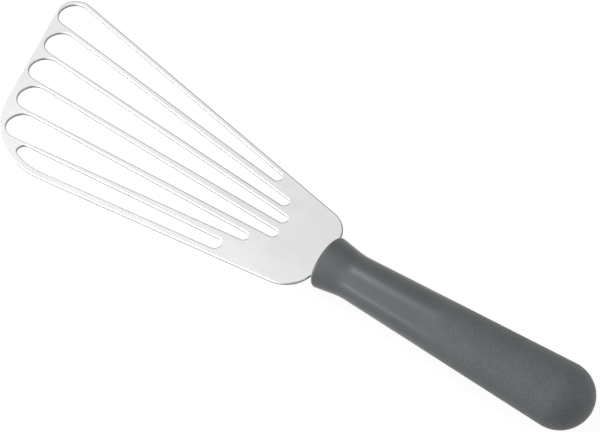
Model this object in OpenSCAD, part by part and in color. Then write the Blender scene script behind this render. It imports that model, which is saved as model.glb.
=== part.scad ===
// Fish spatula: a thin steel blade cut by a fan of tapered slots, with its flat tang moulded
// into a plain plastic grip. Lengths are in millimetres and angles in degrees.
// X runs from the butt of the grip to the tip of the blade, Z rises out of the blade's upper
// face, and the blade's short side is on +Y. The origin is under the middle of the whole part.
// "Ahead" is measured from the grip's front face towards the tip, "across" from the grip's axis.

/* [Grip] */
// Length of the grip, from butt to front face
grip_length = 121; // [112:1:132]
// Width of the grip at its round butt
butt_width = 27.7; // [25:0.1:30]
// Width of the grip at its flared front collar
collar_width = 23.1; // [22:0.1:25]
// Height of the grip as a share of its width
grip_flatness = 0.9; // [0.8:0.05:1]
// Narrowing of the grip's sides from butt to neck
grip_taper = 2.5; // [2:0.1:2.8]
// Flare of the collar's sides
collar_flare = 9.4; // [8:0.2:11]
// Radius of the hollow neck between grip and collar
neck_radius = 25; // [15:1:35]
// Radius of the collar's front edge
collar_edge_radius = 1.1; // [0.6:0.1:1.5]

/* [Tang] */
// Length of the tang inside the grip
tang_length = 92; // [70:1:100]
// Width of the tang
tang_width = 12; // [9:0.5:13]
// Chamfer at the tang's end corners
tang_end_chamfer = 3; // [1:0.5:4]
// Width of the blade's neck where it enters the grip
neck_width = 19.2; // [17:0.2:19.4]
// Depth of that neck inside the grip
neck_depth = 4; // [3:0.5:5]
// Number of holes in the tang, which the plastic fills
key_holes = 3; // [2:1:3]
// Diameter of those holes
key_hole_diameter = 5.5; // [4:0.5:6.5]
// Distance between those holes
key_hole_pitch = 26; // [20:1:28]
// Distance from the grip's front face to the first of those holes
key_hole_start = 22; // [18:1:26]

/* [Blade outline] */
// Thickness of the blade and tang
blade_thickness = 1.2; // [1:0.1:1.6]
// Distance across from the axis to the long side, at the grip's front face
long_side_across = 19.2; // [18.8:0.1:19.6]
// Splay of the long side
long_side_splay = 11.86; // [11.6:0.02:12]
// Distance across from the axis to the short side, at the grip's front face
short_side_across = 19.6; // [19.2:0.1:20.4]
// Splay of the short side
short_side_splay = 7.05; // [6.8:0.05:7.4]
// Distance ahead at which the leading edge crosses the axis
leading_edge_ahead = 163; // [162.5:0.1:165]
// Slant of the leading edge
leading_edge_slant = 18.45; // [18.2:0.05:19]
// Corner radius at the tip, between long side and leading edge
tip_corner_radius = 8.2; // [7.8:0.1:8.6]
// Corner radius between leading edge and short side
short_corner_radius = 37.5; // [36:0.5:39]
// Shoulder radius at the rear of the long side
long_shoulder_radius = 12; // [11:0.5:13]
// Distance ahead of the rearmost point of the long side's shoulder
long_shoulder_ahead = 2; // [1:0.2:3]
// Shoulder radius at the rear of the short side
short_shoulder_radius = 13.5; // [12:0.5:14.5]
// Distance ahead of the rearmost point of the short side's shoulder
short_shoulder_ahead = 0.7; // [0.5:0.1:1.5]

/* [Slots] */
// Radius of the slots' wide round ends, near the leading edge
slot_wide_radius = 6.9; // [6.6:0.1:7]
// Radius of the slots' narrow round ends, near the grip
slot_narrow_radius = 2.2; // [2:0.1:2.5]

/* [First slot, beside the long side] */
// Narrow end, distance ahead
slot_a_narrow_ahead = 42; // [38:0.5:50]
// Narrow end, distance across
slot_a_narrow_across = -23.6; // [-23.9:0.1:-23.2]
// Metal between the wide end and the leading edge, measured square to that edge
slot_a_rim_width = 1.5; // [1.3:0.1:3]
// Wide end, distance across
slot_a_wide_across = -45.7; // [-45.9:0.1:-45.4]

/* [Second slot] */
// Narrow end, distance ahead
slot_b_narrow_ahead = 31.9; // [28:0.1:40]
// Narrow end, distance across
slot_b_narrow_across = -14.6; // [-15.2:0.1:-14]
// Metal between the wide end and the leading edge, measured square to that edge
slot_b_rim_width = 2.5; // [2:0.1:4]
// Wide end, distance across
slot_b_wide_across = -28.9; // [-29.2:0.1:-28.6]

/* [Third slot] */
// Narrow end, distance ahead
slot_c_narrow_ahead = 27.1; // [24:0.1:36]
// Narrow end, distance across
slot_c_narrow_across = -7.1; // [-7.7:0.1:-6.5]
// Metal between the wide end and the leading edge, measured square to that edge
slot_c_rim_width = 1.9; // [1.5:0.1:4]
// Wide end, distance across
slot_c_wide_across = -13.2; // [-13.5:0.1:-12.9]

/* [Fourth slot] */
// Narrow end, distance ahead
slot_d_narrow_ahead = 26; // [24:0.1:36]
// Narrow end, distance across
slot_d_narrow_across = 1.1; // [0.5:0.1:1.7]
// Metal between the wide end and the leading edge, measured square to that edge
slot_d_rim_width = 3.6; // [3:0.1:5.5]
// Wide end, distance across
slot_d_wide_across = 2.1; // [1.8:0.1:2.4]

/* [Fifth slot] */
// Narrow end, distance ahead
slot_e_narrow_ahead = 34.5; // [30:0.1:44]
// Narrow end, distance across
slot_e_narrow_across = 9.3; // [8.8:0.1:9.9]
// Metal between the wide end and the leading edge, measured square to that edge
slot_e_rim_width = 5.2; // [4.8:0.1:8]
// Wide end, distance across
slot_e_wide_across = 16.9; // [16.7:0.1:17.2]

/* [Sixth slot, beside the short side] */
// Width of metal between this slot and the short side
short_rim_width = 2.9; // [2.6:0.1:3.4]
// Distance ahead of the narrow end
slot_f_narrow_ahead = 41.5; // [38:0.5:50]
// Distance across from the axis to the slot's inner side, at the narrow end
slot_f_inner_across = 16; // [15.7:0.1:16.3]
// Splay of the slot's inner side
slot_f_inner_splay = 4.93; // [4.8:0.05:5.1]
// Radius of the wide end's inner corner
slot_f_corner_radius = 3; // [2:0.2:3.6]

/* [Hidden] */
$fn = 96;

steel = [0.86, 0.86, 0.85];
slate = [0.37, 0.39, 0.39];

// Unit vector at an angle, and the normal on its left
function heading(angle) = [cos(angle), sin(angle)];
function left_of(angle) = [-sin(angle), cos(angle)];
// Point where two lines meet, each given by its unit normal and its distance from the origin
function meet(n, d, m, e) = [d * m.y - e * n.y, n.x * e - m.x * d] / (n.x * m.y - n.y * m.x);

// Grip profile: the first number is the distance from the axis, the second that from the butt
butt_radius = butt_width / 2;
side_normal = heading(grip_taper);
side_reach = butt_radius + butt_radius * sin(grip_taper);
collar_normal = heading(-collar_flare);
collar_corner = [collar_width / 2, grip_length - collar_edge_radius];
collar_reach = collar_corner * collar_normal;
neck_centre = meet(side_normal, side_reach + neck_radius, collar_normal, collar_reach + neck_radius);
edge_centre = meet([0, 1], grip_length - collar_edge_radius,
                   collar_normal, collar_reach - collar_edge_radius);
grip_half_height = butt_radius * grip_flatness;

// Blade sides, as outward unit normals and distances, with the axis at the front face as origin
long_normal = -left_of(-long_side_splay);
long_reach = long_side_across * cos(long_side_splay);
short_normal = left_of(short_side_splay);
short_reach = short_side_across * cos(short_side_splay);
lead_normal = heading(leading_edge_slant);
lead_reach = leading_edge_ahead * cos(leading_edge_slant);

tip_corner = meet(long_normal, long_reach - tip_corner_radius,
                  lead_normal, lead_reach - tip_corner_radius);
short_corner = meet(short_normal, short_reach - short_corner_radius,
                    lead_normal, lead_reach - short_corner_radius);
long_shoulder = meet(long_normal, long_reach - long_shoulder_radius,
                     [1, 0], long_shoulder_ahead + long_shoulder_radius);
short_shoulder = meet(short_normal, short_reach - short_shoulder_radius,
                      [1, 0], short_shoulder_ahead + short_shoulder_radius);

// Sixth slot: its outer side keeps the rim's width from the short side and from the corner
inner_corner_radius = short_corner_radius - short_rim_width;
outer_reach = short_reach - short_rim_width;
inner_normal = -left_of(slot_f_inner_splay);
inner_reach = inner_normal * [slot_f_narrow_ahead, slot_f_inner_across];
// The narrow end touches both sides
side_turn = short_normal - inner_normal;
slot_f_narrow_across = (outer_reach - inner_reach - side_turn.x * slot_f_narrow_ahead) / side_turn.y;
slot_f_narrow = [slot_f_narrow_ahead, slot_f_narrow_across];
slot_f_narrow_radius = outer_reach - slot_f_narrow * short_normal;
// The wide end's corner touches the inner side and the round outer side
corner_offset = inner_reach - slot_f_corner_radius - short_corner * inner_normal;
corner_run = sqrt(pow(inner_corner_radius - slot_f_corner_radius, 2) - pow(corner_offset, 2));
slot_f_wide = short_corner + corner_offset * inner_normal + corner_run * heading(slot_f_inner_splay);

// Place of the part's own frame, from the outline's extreme points
part_length = grip_length + tip_corner.x + tip_corner_radius;
outline_low = tip_corner.y - tip_corner_radius;
outline_high = short_corner.y + short_corner_radius;
to_frame = [grip_length - part_length / 2, -(outline_low + outline_high) / 2, grip_half_height];

// Centre of a slot's wide end, from the metal left between it and the straight leading edge
function wide_end(rim_width, across) =
    [(lead_reach - rim_width - slot_wide_radius - lead_normal.y * across) / lead_normal.x, across];

// Depth by which a straight side's end lies inside the round corner that it runs into
lap = 0.005;
// Angle by which the sixth slot's round outer side starts behind the end of its straight one
lap_angle = 5;

// Slot with straight sides that run into two round ends
module tapered_slot(narrow, wide) {
    lean = asin((slot_wide_radius - slot_narrow_radius) / norm(wide - narrow));
    course = atan2(wide.y - narrow.y, wide.x - narrow.x);
    left_side = heading(course + 90 + lean);
    right_side = heading(course - 90 - lean);
    narrow_half = slot_narrow_radius - lap;
    wide_half = slot_wide_radius - lap;
    translate(narrow) circle(r = slot_narrow_radius);
    translate(wide) circle(r = slot_wide_radius);
    polygon([
        narrow + narrow_half * left_side, narrow + narrow_half * right_side,
        wide + wide_half * right_side, wide + wide_half * left_side
    ]);
}

// Sixth slot, whose outer side follows the blade's large corner
module short_slot() {
    narrow_half = slot_f_narrow_radius - lap;
    beyond = 2 * inner_corner_radius;
    start = heading(90 + short_side_splay + lap_angle);
    wide_aim = (slot_f_wide - short_corner) / norm(slot_f_wide - short_corner);
    translate(slot_f_narrow) circle(r = slot_f_narrow_radius);
    translate(slot_f_wide) circle(r = slot_f_corner_radius);
    polygon([
        slot_f_narrow + narrow_half * inner_normal, slot_f_narrow + narrow_half * short_normal,
        short_corner + (inner_corner_radius - 2 * lap) * short_normal, slot_f_wide,
        slot_f_wide + (slot_f_corner_radius - lap) * inner_normal
    ]);
    intersection() {
        translate(short_corner) circle(r = inner_corner_radius - lap);
        polygon([
            short_corner + (inner_corner_radius - slot_f_narrow_radius) * start, slot_f_wide,
            short_corner + beyond * wide_aim, short_corner + beyond * start
        ]);
    }
}

module slots() {
    tapered_slot([slot_a_narrow_ahead, slot_a_narrow_across], wide_end(slot_a_rim_width, slot_a_wide_across));
    tapered_slot([slot_b_narrow_ahead, slot_b_narrow_across], wide_end(slot_b_rim_width, slot_b_wide_across));
    tapered_slot([slot_c_narrow_ahead, slot_c_narrow_across], wide_end(slot_c_rim_width, slot_c_wide_across));
    tapered_slot([slot_d_narrow_ahead, slot_d_narrow_across], wide_end(slot_d_rim_width, slot_d_wide_across));
    tapered_slot([slot_e_narrow_ahead, slot_e_narrow_across], wide_end(slot_e_rim_width, slot_e_wide_across));
    short_slot();
}

// Blade without its tang: straight sides that run into round corners
module outline() {
    rear = [-1, 0];
    translate(tip_corner) circle(r = tip_corner_radius);
    translate(short_corner) circle(r = short_corner_radius);
    translate(long_shoulder) circle(r = long_shoulder_radius);
    translate(short_shoulder) circle(r = short_shoulder_radius);
    polygon([
        long_shoulder + (long_shoulder_radius - lap) * rear,
        long_shoulder + (long_shoulder_radius - lap) * long_normal,
        tip_corner + (tip_corner_radius - lap) * long_normal,
        tip_corner + (tip_corner_radius - lap) * lead_normal,
        short_corner + (short_corner_radius - lap) * lead_normal,
        short_corner + (short_corner_radius - lap) * short_normal,
        short_shoulder + (short_shoulder_radius - lap) * short_normal,
        short_shoulder + (short_shoulder_radius - lap) * rear
    ]);
}

// Neck and tang, behind the blade
module tang_plan() {
    neck_front = max(long_shoulder.x, short_shoulder.x);
    half_end = tang_width / 2 - tang_end_chamfer;
    chamfer_start = tang_end_chamfer - tang_length;
    translate([-neck_depth, -neck_width / 2]) square([neck_depth + neck_front, neck_width]);
    difference() {
        polygon([
            [0, tang_width / 2], [chamfer_start, tang_width / 2], [-tang_length, half_end],
            [-tang_length, -half_end], [chamfer_start, -tang_width / 2], [0, -tang_width / 2]
        ]);
        for (hole = [0 : key_holes - 1])
            translate([-key_hole_start - hole * key_hole_pitch, 0]) circle(d = key_hole_diameter);
    }
}

// The whole stamping, centred on the grip's axis
module stamping() {
    translate([0, 0, -blade_thickness / 2])
        linear_extrude(height = blade_thickness)
            union() {
                difference() {
                    outline();
                    slots();
                }
                tang_plan();
            }
}

// The part of the stamping that the grip is moulded round
module buried_tang() {
    translate([0, 0, -blade_thickness / 2])
        linear_extrude(height = blade_thickness)
            tang_plan();
}

// Half section of the grip
module grip_profile() {
    butt_centre = [0, butt_radius];
    difference() {
        union() {
            intersection() {
                translate(butt_centre) circle(r = butt_radius);
                square(butt_width);
            }
            translate(edge_centre) circle(r = collar_edge_radius);
            polygon([
                butt_centre, butt_centre + (butt_radius - lap) * side_normal,
                neck_centre - (neck_radius - lap) * side_normal,
                neck_centre - (neck_radius - lap) * collar_normal,
                edge_centre + (collar_edge_radius - lap) * collar_normal,
                [edge_centre.x, grip_length - lap], [0, grip_length - lap]
            ]);
        }
        translate(neck_centre) circle(r = neck_radius);
    }
}

// Grip as it would be without the tang: quarter turns of one profile, flattened to an oval
module solid_grip() {
    translate([-grip_length, 0, 0])
        for (quarter = [0 : 3])
            scale([1, 1, grip_flatness])
                rotate([90 * quarter, 0, 0])
                    rotate([0, 90, 0])
                        rotate_extrude(angle = 90)
                            grip_profile();
}

module blade() {
    color(steel) translate(to_frame) stamping();
}

module handle() {
    color(slate) translate(to_frame)
        difference() {
            solid_grip();
            buried_tang();
        }
}

blade();
handle();
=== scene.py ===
"""Fish spatula, dressed for the studio: a satin steel blade with rounded, sheared edges, and the
moulded slate-grey grip that holds its tang. Lengths are in metres, in the frame of the CAD part:
X runs from the grip's butt to the blade's tip, Y towards the blade's short side, and Z is up."""

import math

import bmesh
import bpy
from mathutils import Matrix, Vector


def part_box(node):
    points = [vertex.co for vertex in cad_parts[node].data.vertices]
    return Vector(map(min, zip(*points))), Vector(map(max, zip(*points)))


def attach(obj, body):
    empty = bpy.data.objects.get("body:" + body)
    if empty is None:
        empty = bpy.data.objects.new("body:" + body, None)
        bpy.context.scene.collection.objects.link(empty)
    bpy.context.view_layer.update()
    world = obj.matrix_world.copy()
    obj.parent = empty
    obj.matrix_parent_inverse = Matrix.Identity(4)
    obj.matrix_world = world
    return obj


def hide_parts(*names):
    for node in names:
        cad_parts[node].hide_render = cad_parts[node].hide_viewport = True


MM = 0.001

# Camera, fitted to the photograph. The image is 600 x 432.
CAMERA_AT = (-0.3101, 0.4114, 0.6312)
CAMERA_AIM = (-0.0064, -0.0022, 0.0130)
CAMERA_LENS_MM = 120
CAMERA_SENSOR_MM = 36

# Grip. Its length, width and height come from the CAD node's box.
GRIP_TAPER = math.radians(2.5)
COLLAR_WIDTH = 23.1 * MM
COLLAR_FLARE = math.radians(9.4)
COLLAR_EDGE_RADIUS = 1.1 * MM
NECK_RADIUS = 25 * MM
GRIP_SIDES = 144
BUTT_STEPS, NECK_STEPS, EDGE_STEPS = 30, 10, 8

# Blade. Its outline and slots come from the CAD node's mesh.
EDGE_ROUNDING = 0.26 * MM
# Width of the band round the flat faces, over which the rims' painted shade fades out inwards
RIM_SHADE_WIDTH = 0.3 * MM
# Where the rims' painted shade has faded away, as X plus twice Y
RIM_SHADE_ENDS = 360 * MM
# Height up to which the sheet broke under the punch, above which it was cut. The broken zone below is dull
# metal, painted near black as shade
FRACTURE_HEIGHT = 0.56 * MM
# Height over which the break turns into the cut, and how far that border is ragged
FRACTURE_BLUR = 0.1 * MM
FRACTURE_RAGGEDNESS = 0.06 * MM
# How much painted shade darkens the flat faces along the rims that face the long side, and the walls that
# face the grip
RIM_SHADE_DEPTH = 1.3
END_SHADE_DEPTH = 0.75
# Faces that meet at less than this angle are one plane
SAME_PLANE = math.radians(0.5)
# Least Z of the normal of one of the sheet's flat faces
FLAT = 0.999
SATIN_FACE, SHEARED_WALL = 0, 1

# Steel
# The first of these colours is painted shade along the rims
STEEL_RIM_SHADE = (0.22, 0.22, 0.218)
STEEL_POLISHED = (0.76, 0.76, 0.755)
# The broken zone's dull metal, painted near black as shade
STEEL_BROKEN_AND_SHADED = (0.05, 0.05, 0.048)
STEEL_BURNISHED = (0.92, 0.92, 0.91)
SATIN_ROUGHNESS = (0.20, 0.26)
WALL_ROUGHNESS = (0.5, 0.26)
BELT_STRETCH = (0.012, 1, 1)
LINES_PER_METRE = 5200
BANDS_PER_METRE = 420
PITS_PER_METRE = 2600
LINE_DEPTH = 0.002 * MM
PIT_DEPTH = 0.01 * MM

# Plastic
PLASTIC_DARK = (0.097, 0.107, 0.110)
PLASTIC_LIGHT = (0.147, 0.160, 0.164)
PLASTIC_ROUGHNESS = (0.31, 0.46)
PLASTIC_SPECULAR = 0.3
PATCHES_PER_METRE = 60
GRAIN_PER_METRE = 1300
FINE_GRAIN_PER_METRE = 2600
GRAIN_DEPTH = 0.2 * MM
# The grain is full behind the first of these places on X and gone ahead of the second
GRAIN_FADES = (-84 * MM, -62 * MM)
# How far that border wanders along the grip, and its waves to the metre
BORDER_WANDER = 20 * MM
BORDER_PER_METRE = 90

# Studio
WORLD_FILL = 0.06
FLOOR_REACH = 3
FLOOR_GLOW = 0.93
FLOOR_SHADE = 0.14
FLOOR_GREY = 0.55

# Vertices nearer than this are one
WELD = 0.001 * MM

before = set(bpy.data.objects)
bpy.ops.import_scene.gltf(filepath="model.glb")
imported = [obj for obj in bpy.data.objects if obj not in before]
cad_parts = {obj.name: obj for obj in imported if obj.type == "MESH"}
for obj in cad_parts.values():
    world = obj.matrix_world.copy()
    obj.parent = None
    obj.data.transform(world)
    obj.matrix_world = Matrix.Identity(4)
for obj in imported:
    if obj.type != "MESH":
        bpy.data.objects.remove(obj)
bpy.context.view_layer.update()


# Node helpers

def put(tree, kind, sockets=None, **settings):
    """Adds a node. A socket's value is a constant, or another node's output to link to it."""
    node = tree.nodes.new(kind)
    for name, value in settings.items():
        setattr(node, name, value)
    for name, value in (sockets or {}).items():
        if isinstance(value, bpy.types.NodeSocket):
            tree.links.new(value, node.inputs[name])
        else:
            node.inputs[name].default_value = value
    return node


def maths(tree, operation, *values):
    """The result of a sum, product or the like of constants and other nodes' outputs."""
    return put(tree, "ShaderNodeMath", dict(enumerate(values)), operation=operation).outputs[0]


def ramp(tree, value, low, high, to_low=0.0, to_high=1.0):
    """Maps low..high of a value to to_low..to_high, and holds it at both ends."""
    sockets = {"Value": value, "From Min": low, "From Max": high, "To Min": to_low, "To Max": to_high}
    return put(tree, "ShaderNodeMapRange", sockets, interpolation_type="SMOOTHSTEP").outputs[0]


def noise(tree, place, scale, detail=2.0, roughness=0.5):
    """Soft noise about 0.5, with a scale in waves to the metre."""
    sockets = {"Vector": place, "Scale": scale, "Detail": detail, "Roughness": roughness}
    return put(tree, "ShaderNodeTexNoise", sockets).outputs[0]


def on_object(tree, stretch=(1, 1, 1)):
    """Object coordinates, on which a small factor draws a pattern out along its axis."""
    place = put(tree, "ShaderNodeTexCoord").outputs["Object"]
    return put(tree, "ShaderNodeMapping", {"Vector": place, "Scale": stretch}).outputs[0]


def coordinate(tree, axis):
    """The object coordinate along one axis."""
    place = put(tree, "ShaderNodeTexCoord").outputs["Object"]
    return put(tree, "ShaderNodeSeparateXYZ", {0: place}).outputs[axis]


def marked(tree, name):
    """How strongly a mesh is marked with an attribute."""
    return put(tree, "ShaderNodeAttribute", attribute_name=name).outputs["Fac"]


def tinted(tree, dark, light, factor):
    """A colour between two colours, which go into the mix node's colour sockets, 6 and 7."""
    mix = put(tree, "ShaderNodeMix", {0: factor, 6: (*dark, 1), 7: (*light, 1)}, data_type="RGBA")
    return mix.outputs[2]


def new_effect(name, inputs, outputs):
    """An empty node group, with its inputs and outputs as plain values."""
    tree = bpy.data.node_groups.new(name, "ShaderNodeTree")
    for label, value in inputs.items():
        socket = tree.interface.new_socket(label, in_out="INPUT", socket_type="NodeSocketFloat")
        socket.default_value = value
    for label in outputs:
        tree.interface.new_socket(label, in_out="OUTPUT", socket_type="NodeSocketFloat")
    return tree, tree.nodes.new("NodeGroupInput"), tree.nodes.new("NodeGroupOutput")


def use(tree, group, values):
    """Places a node group in a material, with the values of its inputs."""
    node = put(tree, "ShaderNodeGroup", node_tree=group)
    for label, value in values.items():
        node.inputs[label].default_value = value
    return node


def new_material(name):
    """A material without nodes, and its node tree."""
    material = bpy.data.materials.new(name)
    material.use_nodes = True
    material.node_tree.nodes.clear()
    return material, material.node_tree


def finish_material(tree, colour, roughness, relief, depth, **constants):
    """The material's shader, with a relief as deep as depth, and its output."""
    bump = put(tree, "ShaderNodeBump", {"Height": relief, "Distance": depth})
    sockets = {"Base Color": colour, "Roughness": roughness, "Normal": bump.outputs[0], **constants}
    shader = put(tree, "ShaderNodeBsdfPrincipled", sockets)
    put(tree, "ShaderNodeOutputMaterial", {"Surface": shader.outputs[0]})


# Effects that more than one material uses

def make_polishing_lines():
    """Hair-fine lines that a polishing belt leaves along the blade, and broader bands of them."""
    tree, given, result = new_effect("polishing_lines", {"Fineness": 1}, ["Line", "Band"])
    place = on_object(tree, BELT_STRETCH)
    fineness = given.outputs["Fineness"]
    line = noise(tree, place, maths(tree, "MULTIPLY", fineness, LINES_PER_METRE), 3)
    band = noise(tree, place, maths(tree, "MULTIPLY", fineness, BANDS_PER_METRE))
    tree.links.new(line, result.inputs["Line"])
    tree.links.new(band, result.inputs["Band"])
    return tree


def make_handling_marks():
    """Broad, faint patches where hands and washing have dulled a surface."""
    tree, given, result = new_effect("handling_marks", {"Size": 1}, ["Patch"])
    scale = maths(tree, "DIVIDE", PATCHES_PER_METRE, given.outputs["Size"])
    patch = noise(tree, on_object(tree), scale, 4, 0.6)
    tree.links.new(ramp(tree, patch, 0.35, 0.65), result.inputs["Patch"])
    return tree


polishing_lines = make_polishing_lines()
handling_marks = make_handling_marks()


# Materials

def make_satin_steel():
    """The blade's flat faces, with painted shade along the rims that face the blade's long side."""
    material, tree = new_material("satin_steel")
    lines = use(tree, polishing_lines, {"Fineness": 1}).outputs
    marks = use(tree, handling_marks, {"Size": 2.2}).outputs
    tone = maths(tree, "MULTIPLY", maths(tree, "ADD", lines["Line"], marks["Patch"]), 0.5)
    even = maths(tree, "MULTIPLY_ADD", tone, 0.15, 0.82)
    # Painted shade darkens the flat faces along the rims that face the blade's long side
    shaded_tone = maths(tree, "MULTIPLY_ADD", marked(tree, "painted_rim_shade"), -RIM_SHADE_DEPTH, even)
    colour = tinted(tree, STEEL_RIM_SHADE, STEEL_POLISHED, shaded_tone)
    uneven = maths(tree, "ADD", lines["Line"], lines["Band"])
    roughness = ramp(tree, uneven, 0.6, 1.4, *SATIN_ROUGHNESS)
    finish_material(tree, colour, roughness, lines["Line"], LINE_DEPTH, Metallic=1)
    return material


def make_sheared_steel():
    """The cut walls: burnished above, and below, where the metal broke, dull metal painted near black as
    shade. Painted shade also darkens the walls that face the grip, at the slots' wide ends, and the
    rounding under a flat face where the rims face the blade's long side."""
    material, tree = new_material("sheared_steel")
    lines = use(tree, polishing_lines, {"Fineness": 0.6}).outputs
    pits = noise(tree, on_object(tree), PITS_PER_METRE, 3, 0.6)
    height = coordinate(tree, "Z")
    low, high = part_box("blade")
    # Below this height the broken zone is painted near black as shade
    broken_to = low.z + FRACTURE_HEIGHT
    ragged = maths(tree, "MULTIPLY_ADD", lines["Band"], FRACTURE_RAGGEDNESS, height)
    burnished = ramp(tree, ragged, broken_to, broken_to + FRACTURE_BLUR)
    # Painted shade on the rounding under a flat face, where the rims face the blade's long side
    under_face = ramp(tree, height, high.z - EDGE_ROUNDING, high.z - 0.6 * EDGE_ROUNDING)
    painted_rim_shade = maths(tree, "MULTIPLY", marked(tree, "painted_rim_shade"), under_face)
    # The walls take the darker of the two painted shades
    painted_shade = maths(tree, "MAXIMUM", marked(tree, "painted_end_shade"), painted_rim_shade)
    bright = maths(tree, "MULTIPLY", burnished, maths(tree, "SUBTRACT", 1, painted_shade))
    shade = maths(tree, "MULTIPLY_ADD", pits, 0.1, maths(tree, "MULTIPLY", bright, 0.95))
    colour = tinted(tree, STEEL_BROKEN_AND_SHADED, STEEL_BURNISHED, shade)
    roughness = ramp(tree, bright, 0, 1, *WALL_ROUGHNESS)
    finish_material(tree, colour, roughness, pits, PIT_DEPTH, Metallic=1)
    return material


def make_slate_plastic():
    """The grip's plastic: half gloss at the front, and a fine, paler moulded grain towards the butt."""
    material, tree = new_material("slate_plastic")
    place = on_object(tree)
    border = noise(tree, place, BORDER_PER_METRE)
    uneven = maths(tree, "MULTIPLY_ADD", border, BORDER_WANDER, coordinate(tree, "X"))
    grained = ramp(tree, uneven, *GRAIN_FADES, 1, 0)
    pits = noise(tree, place, GRAIN_PER_METRE, 2, 0.6)
    grain = maths(tree, "ADD", pits, noise(tree, place, FINE_GRAIN_PER_METRE))
    relief = maths(tree, "MULTIPLY", grain, grained)
    patch = use(tree, handling_marks, {"Size": 1}).outputs["Patch"]
    speckle = maths(tree, "MULTIPLY", ramp(tree, pits, 0.46, 0.66), grained)
    tone = maths(tree, "MULTIPLY_ADD", speckle, 0.6, maths(tree, "MULTIPLY_ADD", patch, 0.2, 0.2))
    colour = tinted(tree, PLASTIC_DARK, PLASTIC_LIGHT, tone)
    dulled = maths(tree, "MULTIPLY_ADD", patch, 0.15, grained)
    roughness = ramp(tree, dulled, 0, 1.15, *PLASTIC_ROUGHNESS)
    finish_material(tree, colour, roughness, relief, GRAIN_DEPTH,
                    **{"Specular IOR Level": PLASTIC_SPECULAR})
    return material


satin_steel = make_satin_steel()
sheared_steel = make_sheared_steel()
slate_plastic = make_slate_plastic()


# Mesh helpers

def new_piece(name, bm, materials, node):
    """An object of the bmesh's shape, which takes the place of a CAD node."""
    mesh = bpy.data.meshes.new(name)
    bm.to_mesh(mesh)
    bm.free()
    for material in materials:
        mesh.materials.append(material)
    piece = bpy.data.objects.new(name, mesh)
    bpy.context.scene.collection.objects.link(piece)
    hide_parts(node)
    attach(piece, "root")
    return piece


def draw_line(bm, vertex, place):
    """Draws a profile on from a vertex in a straight line, and returns its new end."""
    made = bmesh.ops.extrude_vert_indiv(bm, verts=[vertex])
    end = made["verts"][0]
    end.co = (*place, 0)
    return end


def draw_arc(bm, vertex, centre, angle, steps):
    """Draws a profile on from a vertex in an arc, and returns its new end."""
    made = bmesh.ops.spin(bm, geom=[vertex], cent=(*centre, 0), axis=(0, 0, 1), angle=angle,
                          steps=steps, use_merge=False, use_duplicate=False)
    return [item for item in made["geom_last"] if isinstance(item, bmesh.types.BMVert)][0]


def meet(normal, reach, other, other_reach):
    """Where two lines of a plane meet, each given by its unit normal and distance from the origin."""
    return Matrix((normal, other)).inverted() @ Vector((reach, other_reach))


# Blade

def is_flat(face):
    """Whether a face belongs to the sheet's top or bottom."""
    return abs(face.normal.z) > FLAT


def at_rim(edge):
    """Whether an edge has a flat face of the sheet on one side only."""
    return len({is_flat(face) for face in edge.link_faces}) == 2


def held(value, low, high):
    """How far a value is from low to high, held at 0 and 1."""
    return min(max((value - low) / (high - low), 0), 1)


def mark_painted_shade(bm):
    """Marks painted shade on the walls that face the grip, and on the rims that face the blade's long
    side. The rims' painted shade fades towards the leading edge and the short side."""
    painted_end_shade = bm.verts.layers.float.new("painted_end_shade")
    painted_rim_shade = bm.verts.layers.float.new("painted_rim_shade")
    for vertex in bm.verts:
        walls = [face.normal for face in vertex.link_faces if not is_flat(face)]
        if walls:
            outwards = sum(walls, Vector())
            outwards.z = 0
            outwards.normalize()
            # Painted shade on the walls that face the grip, as at the slots' wide ends
            vertex[painted_end_shade] = END_SHADE_DEPTH * held(-outwards.x, 0.35, 0.7)
            fading = held(vertex.co.x + 2 * vertex.co.y, RIM_SHADE_ENDS, 0)
            # Painted shade on the rims that face the blade's long side, fading towards the leading edge
            # and the short side
            vertex[painted_rim_shade] = held(0.3 - outwards.y, 0, 0.6) * fading


def make_blade():
    """The CAD node's sheet, with its cut walls, and with all its edges rounded."""
    bm = bmesh.new()
    bm.from_mesh(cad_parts["blade"].data)
    bmesh.ops.remove_doubles(bm, verts=bm.verts, dist=WELD)
    bmesh.ops.dissolve_limit(bm, angle_limit=SAME_PLANE, verts=bm.verts, edges=bm.edges)
    rims = [edge for edge in bm.edges if at_rim(edge)]
    bmesh.ops.bevel(bm, geom=rims, offset=EDGE_ROUNDING, offset_type="OFFSET", segments=2,
                    profile=0.5, affect="EDGES", material=-1)
    flats = [face for face in bm.faces if is_flat(face)]
    bmesh.ops.inset_region(bm, faces=flats, thickness=RIM_SHADE_WIDTH, use_even_offset=True)
    mark_painted_shade(bm)
    for face in bm.faces:
        face.material_index = SATIN_FACE if is_flat(face) else SHEARED_WALL
        face.smooth = True
    for edge in bm.edges:
        edge.smooth = not at_rim(edge)
    return new_piece("stamped_blade", bm, [satin_steel, sheared_steel], "blade")


# Grip

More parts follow.
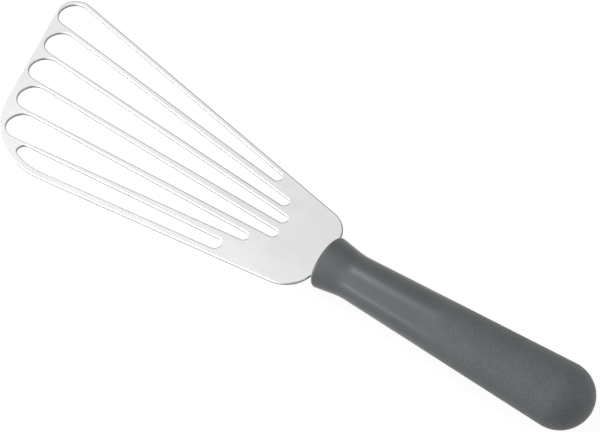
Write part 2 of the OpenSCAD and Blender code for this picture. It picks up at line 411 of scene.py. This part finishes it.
def draw_grip_profile(bm, radius, length):
    """Half the grip's outline, with the axis on X: a round butt, a tapering side, a hollow neck, a
    flared collar with a round edge, and the front face."""
    side = Vector((math.sin(GRIP_TAPER), math.cos(GRIP_TAPER)))
    flare = Vector((-math.sin(COLLAR_FLARE), math.cos(COLLAR_FLARE)))
    edge_at = length - COLLAR_EDGE_RADIUS
    side_reach = radius + radius * side.x
    flare_reach = flare.dot(Vector((edge_at, COLLAR_WIDTH / 2)))
    neck = meet(side, side_reach + NECK_RADIUS, flare, flare_reach + NECK_RADIUS)
    edge = meet(Vector((1, 0)), edge_at, flare, flare_reach - COLLAR_EDGE_RADIUS)

    end = bm.verts.new((0, 0, 0))
    end = draw_arc(bm, end, (radius, 0), GRIP_TAPER - math.pi / 2, BUTT_STEPS)
    end = draw_line(bm, end, neck - NECK_RADIUS * side)
    end = draw_arc(bm, end, neck, GRIP_TAPER + COLLAR_FLARE, NECK_STEPS)
    end = draw_line(bm, end, edge + COLLAR_EDGE_RADIUS * flare)
    end = draw_arc(bm, end, edge, -COLLAR_FLARE - math.pi / 2, EDGE_STEPS)
    draw_line(bm, end, (length, 0))


def mould_round(piece, core):
    """Cuts a cavity for the core out of the piece, whose own materials line it too."""
    materials = piece.data.materials[:]
    cavity = piece.modifiers.new("tang_cavity", "BOOLEAN")
    cavity.operation = "DIFFERENCE"
    cavity.solver = "EXACT"
    cavity.object = core
    evaluated = piece.evaluated_get(bpy.context.evaluated_depsgraph_get())
    piece.data = bpy.data.meshes.new_from_object(evaluated)
    piece.modifiers.clear()
    piece.data.materials.clear()
    for material in materials:
        piece.data.materials.append(material)


def make_grip(tang):
    """The half profile, spun round the axis, flattened to an oval, and moulded round the tang."""
    low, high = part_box("handle")
    centre = (low + high) / 2
    flatness = (high.z - low.z) / (high.y - low.y)
    bm = bmesh.new()
    draw_grip_profile(bm, (high.y - low.y) / 2, high.x - low.x)
    bmesh.ops.spin(bm, geom=bm.verts[:] + bm.edges[:], cent=(0, 0, 0), axis=(1, 0, 0),
                   angle=math.tau, steps=GRIP_SIDES, use_merge=True, use_duplicate=False)
    bmesh.ops.remove_doubles(bm, verts=bm.verts, dist=WELD)
    bmesh.ops.recalc_face_normals(bm, faces=bm.faces)
    bmesh.ops.scale(bm, vec=(1, 1, flatness), verts=bm.verts)
    bmesh.ops.translate(bm, vec=(low.x, centre.y, centre.z), verts=bm.verts)
    for face in bm.faces:
        face.smooth = True
    grip = new_piece("moulded_grip", bm, [slate_plastic], "handle")
    mould_round(grip, tang)
    return grip


blade = make_blade()
grip = make_grip(blade)


# Studio

def aim(thing, place, target):
    """Puts a camera or a lamp in its place and turns it to the target."""
    bpy.context.scene.collection.objects.link(thing)
    thing.location = place
    thing.rotation_euler = (Vector(target) - Vector(place)).to_track_quat("-Z", "Y").to_euler()


def make_camera():
    """The photograph's view."""
    lens = bpy.data.cameras.new("camera")
    lens.lens = CAMERA_LENS_MM
    lens.sensor_width = CAMERA_SENSOR_MM
    camera = bpy.data.objects.new("camera", lens)
    aim(camera, CAMERA_AT, CAMERA_AIM)
    bpy.context.scene.camera = camera


def make_lamp(name, place, target, size, power):
    """A rectangular lamp, with its size as width and height."""
    light = bpy.data.lights.new(name, "AREA")
    light.shape = "RECTANGLE"
    light.size, light.size_y = size
    light.energy = power
    aim(bpy.data.objects.new(name, light), place, target)


def grey(level):
    """A colour without a tint."""
    return (level, level, level, 1)


def seen_directly(tree):
    """1 for what the camera sees, also in metal and through glass, and 0 for light that spreads."""
    path = put(tree, "ShaderNodeLightPath").outputs
    seen = maths(tree, "MAXIMUM", path["Is Camera Ray"], path["Is Glossy Ray"])
    return maths(tree, "MAXIMUM", seen, path["Is Transmission Ray"])


def make_world():
    """White where it is seen, and a softer light on the part."""
    world = bpy.data.worlds.new("studio")
    bpy.context.scene.world = world
    world.use_nodes = True
    tree = world.node_tree
    tree.nodes.clear()
    strength = ramp(tree, seen_directly(tree), 0, 1, WORLD_FILL, 1)
    light = put(tree, "ShaderNodeBackground", {"Color": grey(1), "Strength": strength})
    put(tree, "ShaderNodeOutputWorld", {"Surface": light.outputs[0]})


def make_pale_floor():
    """Nearly white where it is seen, with faint shadows, and a plain pale grey to light that
    spreads."""
    material, tree = new_material("pale_floor")
    glow = put(tree, "ShaderNodeEmission", {"Strength": FLOOR_GLOW})
    shaded = put(tree, "ShaderNodeBsdfDiffuse", {"Color": grey(FLOOR_SHADE)})
    seen = put(tree, "ShaderNodeAddShader", {0: glow.outputs[0], 1: shaded.outputs[0]})
    plain = put(tree, "ShaderNodeBsdfDiffuse", {"Color": grey(FLOOR_GREY)})
    mix = put(tree, "ShaderNodeMixShader",
              {0: seen_directly(tree), 1: plain.outputs[0], 2: seen.outputs[0]})
    put(tree, "ShaderNodeOutputMaterial", {"Surface": mix.outputs[0]})
    return material


def make_floor(grip):
    """A pale sheet, on which the spatula rests by its weight: on its grip's butt and collar."""
    bm = bmesh.new()
    bmesh.ops.create_grid(bm, x_segments=1, y_segments=1, size=FLOOR_REACH)
    mesh = bpy.data.meshes.new("floor")
    bm.to_mesh(mesh)
    bm.free()
    mesh.materials.append(make_pale_floor())
    floor = bpy.data.objects.new("floor", mesh)
    bpy.context.scene.collection.objects.link(floor)
    low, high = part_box("handle")
    places = [vertex.co for vertex in grip.data.vertices]
    butt = min(places, key=lambda place: place.z)
    front = [place - butt for place in places if place.x > (low.x + high.x) / 2]
    floor.rotation_euler.y = -min(math.atan2(place.z, place.x) for place in front)
    floor.location = (butt.x, 0, butt.z)


make_camera()
make_world()
make_floor(grip)
make_lamp("side_softbox", place=(0.64, 0.48, 0.20), target=(0, 0, 0.012), size=(0.4, 0.25), power=2.7)
make_lamp("window_strip", place=(0.45, 0.75, 0.14), target=(0.1, 0, 0.012), size=(0.5, 0.14), power=2.3)
make_lamp("overhead_strip", place=(0.28, -0.02, 0.61), target=(0.28, -0.02, 0.012), size=(0.16, 0.24),
          power=1.5)
make_lamp("overhead_panel", place=(0.36, 0.44, 0.60), target=(0.1, 0.1, 0.012), size=(0.8, 0.8), power=2.3)
make_lamp("back_panel", place=(-0.76, -0.07, 0.36), target=(-0.1, 0, 0.012), size=(0.3, 0.3), power=1.8)
make_lamp("far_panel", place=(0.60, -0.34, 0.60), target=(0.08, 0, 0.012), size=(0.35, 0.35), power=0.06)
bpy.context.scene.view_settings.view_transform = "Standard"
